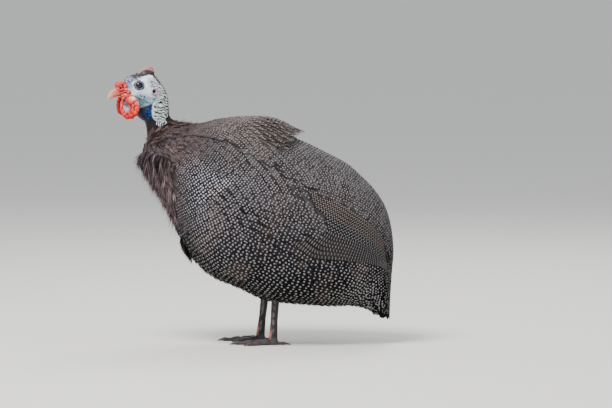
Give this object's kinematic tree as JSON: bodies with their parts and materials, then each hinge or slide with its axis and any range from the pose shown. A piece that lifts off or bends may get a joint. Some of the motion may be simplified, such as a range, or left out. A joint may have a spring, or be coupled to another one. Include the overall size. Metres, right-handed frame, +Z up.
{
  "type": "helmeted guinea fowl",
  "caption": "Still, life-size standing bird with a hunched rounded body, folded wings, drooping tail, bare head with bony casque and hanging wattles.",
  "frame": {"origin": "on the floor, under the middle of the bird's box", "axes": "+Z up, the bird faces -X, its left side is -Y"},
  "size_m": [0.3703, 0.1908, 0.3613],
  "materials": {
    "body_feather": "matte",
    "ruff_feather": "matte",
    "face_skin": "satin",
    "wattle_skin": "satin",
    "bill_horn": "satin",
    "casque_horn": "satin",
    "leg_scale": "satin",
    "claw_horn": "satin",
    "eye_gloss": "gloss"
  },
  "bodies": {
    "root": {"torso": "body_feather", "wing_left": "body_feather", "wing_right": "body_feather", "tail": "body_feather", "neck": "face_skin", "ruff": "ruff_feather", "head": "face_skin", "wattle_left": "wattle_skin", "wattle_right": "wattle_skin", "bill_upper": "bill_horn", "bill_lower": "bill_horn", "casque": "casque_horn", "eye_left": "eye_gloss", "eye_right": "eye_gloss", "leg_left": "leg_scale", "leg_right": "leg_scale", "foot_left": "leg_scale", "foot_right": "leg_scale", "claw_left_inner": "claw_horn", "claw_left_middle": "claw_horn", "claw_left_outer": "claw_horn", "claw_left_hind": "claw_horn", "claw_right_inner": "claw_horn", "claw_right_middle": "claw_horn", "claw_right_outer": "claw_horn", "claw_right_hind": "claw_horn"}
  },
  "joints": []
}
